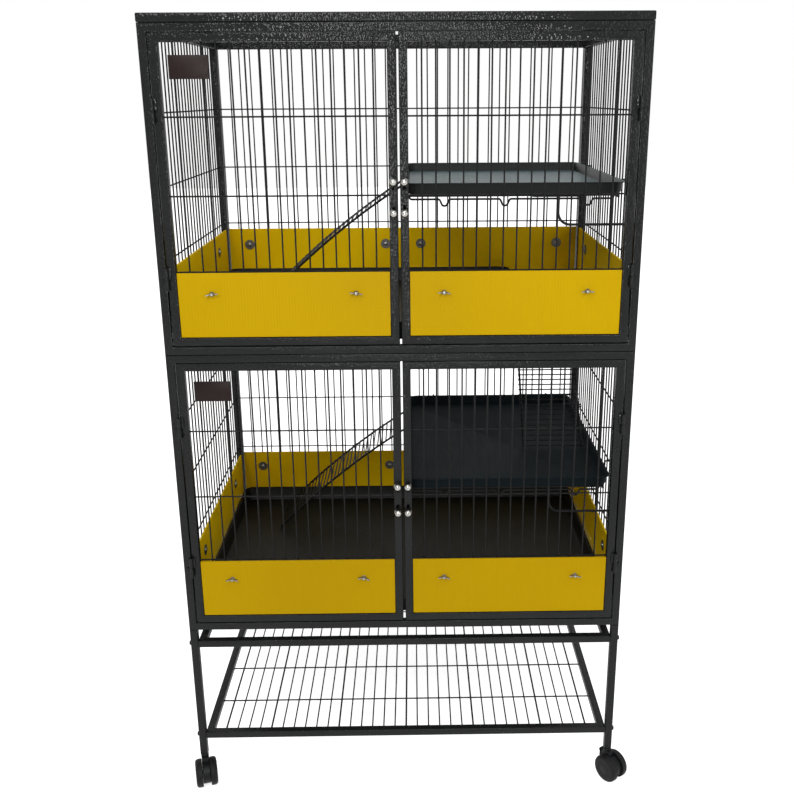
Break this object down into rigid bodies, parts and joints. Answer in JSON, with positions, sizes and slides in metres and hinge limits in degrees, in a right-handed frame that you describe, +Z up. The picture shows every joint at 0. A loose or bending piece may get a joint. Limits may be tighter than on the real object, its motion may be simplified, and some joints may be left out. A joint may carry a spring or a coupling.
{
  "type": "ferret cage",
  "caption": "Two-tier wire ferret cage on a wheeled stand, with double doors, pinch latches, yellow guards, half-width shelves, ladder ramps and slide-in floor pans.",
  "frame": {"origin": "on the floor under the middle of the cage", "axes": "+Z up, -Y out of the front doors, +X to the right as seen from the front"},
  "size_m": [0.9832, 0.7144, 1.6109],
  "materials": {
    "coat": "dark charcoal hammertone powder coat",
    "guard": "translucent yellow fluted plastic",
    "shelf": "slate grey moulded plastic",
    "pan": "black moulded plastic",
    "chrome": "polished chrome",
    "nylon": "black nylon"
  },
  "bodies": {
    "cage": {"leg_front_left": "coat", "leg_front_right": "coat", "leg_back_left": "coat", "leg_back_right": "coat", "stand_top_frame": "coat", "stand_shelf": "coat", "lower_front_frame": "coat", "lower_left_panel": "coat", "lower_right_panel": "coat", "lower_back_panel": "coat", "lower_left_guard": "guard", "lower_right_guard": "guard", "lower_back_left_guard": "guard", "lower_back_right_guard": "guard", "lower_floor_grid": "coat", "lower_floor_pan": "pan", "lower_shelf_frame": "coat", "lower_shelf_tray": "shelf", "upper_front_frame": "coat", "upper_left_panel": "coat", "upper_right_panel": "coat", "upper_back_panel": "coat", "upper_left_guard": "guard", "upper_right_guard": "guard", "upper_back_left_guard": "guard", "upper_back_right_guard": "guard", "upper_front_floor_grid": "coat", "upper_floor_grid": "coat", "upper_floor_pan": "pan", "upper_shelf_frame": "coat", "top_panel": "coat"},
    "caster_front_left_swivel": {"caster_front_left_fork": "nylon"},
    "caster_front_left_wheel_pair": {"caster_front_left_wheels": "nylon"},
    "caster_front_right_swivel": {"caster_front_right_fork": "nylon"},
    "caster_front_right_wheel_pair": {"caster_front_right_wheels": "nylon"},
    "caster_front_right_brake_lever": {"caster_front_right_brake": "nylon"},
    "caster_back_left_swivel": {"caster_back_left_fork": "nylon"},
    "caster_back_left_wheel_pair": {"caster_back_left_wheels": "nylon"},
    "caster_back_right_swivel": {"caster_back_right_fork": "nylon"},
    "caster_back_right_wheel_pair": {"caster_back_right_wheels": "nylon"},
    "lower_left_door": {"lower_left_door": "coat", "lower_front_left_guard": "guard"},
    "lower_left_latch_top_rod": {"lower_left_latch_top": "chrome"},
    "lower_left_latch_bottom_rod": {"lower_left_latch_bottom": "chrome"},
    "lower_right_door": {"lower_right_door": "coat", "lower_front_right_guard": "guard"},
    "lower_right_latch_top_rod": {"lower_right_latch_top": "chrome"},
    "lower_right_latch_bottom_rod": {"lower_right_latch_bottom": "chrome"},
    "lower_ramp_ladder": {"lower_ramp": "coat"},
    "upper_left_door": {"upper_left_door": "coat", "upper_front_left_guard": "guard"},
    "upper_left_latch_top_rod": {"upper_left_latch_top": "chrome"},
    "upper_left_latch_bottom_rod": {"upper_left_latch_bottom": "chrome"},
    "upper_right_door": {"upper_right_door": "coat", "upper_front_right_guard": "guard"},
    "upper_right_latch_top_rod": {"upper_right_latch_top": "chrome"},
    "upper_right_latch_bottom_rod": {"upper_right_latch_bottom": "chrome"},
    "upper_tray": {"upper_shelf_tray": "shelf"},
    "upper_ramp_ladder": {"upper_ramp": "coat"},
    "tier_ramp_ladder": {"tier_ramp": "coat"}
  },
  "joints": [
    {"name": "caster_front_left_turn", "type": "hinge", "parent": "cage", "child": "caster_front_left_swivel", "pos_m": [-0.449, -0.3095, 0.07], "axis": [0, 0, 1], "continuous": true},
    {"name": "caster_front_left_roll", "type": "hinge", "parent": "caster_front_left_swivel", "child": "caster_front_left_wheel_pair", "pos_m": [-0.44514, -0.32296, 0.03], "axis": [0.9613, 0.2756, 0], "continuous": true},
    {"name": "caster_front_right_turn", "type": "hinge", "parent": "cage", "child": "caster_front_right_swivel", "pos_m": [0.449, -0.3095, 0.07], "axis": [0, 0, 1], "continuous": true},
    {"name": "caster_front_right_roll", "type": "hinge", "parent": "caster_front_right_swivel", "child": "caster_front_right_wheel_pair", "pos_m": [0.45723, -0.32083, 0.03], "axis": [0.809, 0.5878, 0], "continuous": true},
    {"name": "caster_front_right_brake_press", "type": "hinge", "parent": "caster_front_right_swivel", "child": "caster_front_right_brake_lever", "pos_m": [0.44253, -0.3006, 0.047], "axis": [-0.809, -0.5878, 0], "range_deg": [0, 25]},
    {"name": "caster_back_left_turn", "type": "hinge", "parent": "cage", "child": "caster_back_left_swivel", "pos_m": [-0.449, 0.3095, 0.07], "axis": [0, 0, 1], "continuous": true},
    {"name": "caster_back_left_roll", "type": "hinge", "parent": "caster_back_left_swivel", "child": "caster_back_left_wheel_pair", "pos_m": [-0.45723, 0.32083, 0.03], "axis": [-0.809, -0.5878, 0], "continuous": true},
    {"name": "caster_back_right_turn", "type": "hinge", "parent": "cage", "child": "caster_back_right_swivel", "pos_m": [0.449, 0.3095, 0.07], "axis": [0, 0, 1], "continuous": true},
    {"name": "caster_back_right_roll", "type": "hinge", "parent": "caster_back_right_swivel", "child": "caster_back_right_wheel_pair", "pos_m": [0.44514, 0.32296, 0.03], "axis": [-0.9613, -0.2756, 0], "continuous": true},
    {"name": "lower_left_door_swing", "type": "hinge", "parent": "cage", "child": "lower_left_door", "pos_m": [-0.44, -0.3218, 0.6868], "axis": [0, 0, -1], "range_deg": [0, 170]},
    {"name": "lower_left_latch_top_pinch", "type": "slide", "parent": "lower_left_door", "child": "lower_left_latch_top_rod", "axis": [0, 0, -1], "range_m": [0, 0.012], "stiffness_N_per_m": 120, "springref_m": -0.03},
    {"name": "lower_left_latch_bottom_pinch", "type": "slide", "parent": "lower_left_door", "child": "lower_left_latch_bottom_rod", "axis": [0, 0, 1], "range_m": [0, 0.012], "stiffness_N_per_m": 120, "springref_m": -0.03},
    {"name": "lower_right_door_swing", "type": "hinge", "parent": "cage", "child": "lower_right_door", "pos_m": [0.44, -0.3218, 0.6868], "axis": [0, 0, 1], "range_deg": [0, 170]},
    {"name": "lower_right_latch_top_pinch", "type": "slide", "parent": "lower_right_door", "child": "lower_right_latch_top_rod", "axis": [0, 0, -1], "range_m": [0, 0.012], "stiffness_N_per_m": 120, "springref_m": -0.03},
    {"name": "lower_right_latch_bottom_pinch", "type": "slide", "parent": "lower_right_door", "child": "lower_right_latch_bottom_rod", "axis": [0, 0, 1], "range_m": [0, 0.012], "stiffness_N_per_m": 120, "springref_m": -0.03},
    {"name": "lower_ramp_lift", "type": "hinge", "parent": "cage", "child": "lower_ramp_ladder", "pos_m": [0.01, 0.1795, 0.6773], "axis": [0, 1, 0], "range_deg": [0, 70]},
    {"name": "upper_left_door_swing", "type": "hinge", "parent": "cage", "child": "upper_left_door", "pos_m": [-0.44, -0.3218, 1.2921], "axis": [0, 0, -1], "range_deg": [0, 170]},
    {"name": "upper_left_latch_top_pinch", "type": "slide", "parent": "upper_left_door", "child": "upper_left_latch_top_rod", "axis": [0, 0, -1], "range_m": [0, 0.012], "stiffness_N_per_m": 120, "springref_m": -0.03},
    {"name": "upper_left_latch_bottom_pinch", "type": "slide", "parent": "upper_left_door", "child": "upper_left_latch_bottom_rod", "axis": [0, 0, 1], "range_m": [0, 0.012], "stiffness_N_per_m": 120, "springref_m": -0.03},
    {"name": "upper_right_door_swing", "type": "hinge", "parent": "cage", "child": "upper_right_door", "pos_m": [0.44, -0.3218, 1.2921], "axis": [0, 0, 1], "range_deg": [0, 170]},
    {"name": "upper_right_latch_top_pinch", "type": "slide", "parent": "upper_right_door", "child": "upper_right_latch_top_rod", "axis": [0, 0, -1], "range_m": [0, 0.012], "stiffness_N_per_m": 120, "springref_m": -0.03},
    {"name": "upper_right_latch_bottom_pinch", "type": "slide", "parent": "upper_right_door", "child": "upper_right_latch_bottom_rod", "axis": [0, 0, 1], "range_m": [0, 0.012], "stiffness_N_per_m": 120, "springref_m": -0.03},
    {"name": "upper_tray_lift", "type": "slide", "parent": "cage", "child": "upper_tray", "axis": [0, 0, 1], "range_m": [0, 0.06]},
    {"name": "upper_ramp_lift", "type": "hinge", "parent": "cage", "child": "upper_ramp_ladder", "pos_m": [0.01, 0.0475, 1.2826], "axis": [0, 1, 0], "range_deg": [0, 70]},
    {"name": "tier_ramp_lift", "type": "hinge", "parent": "cage", "child": "tier_ramp_ladder", "pos_m": [0.3435, 0.2235, 1.0116], "axis": [-1, 0, 0], "range_deg": [0, 40]}
  ]
}
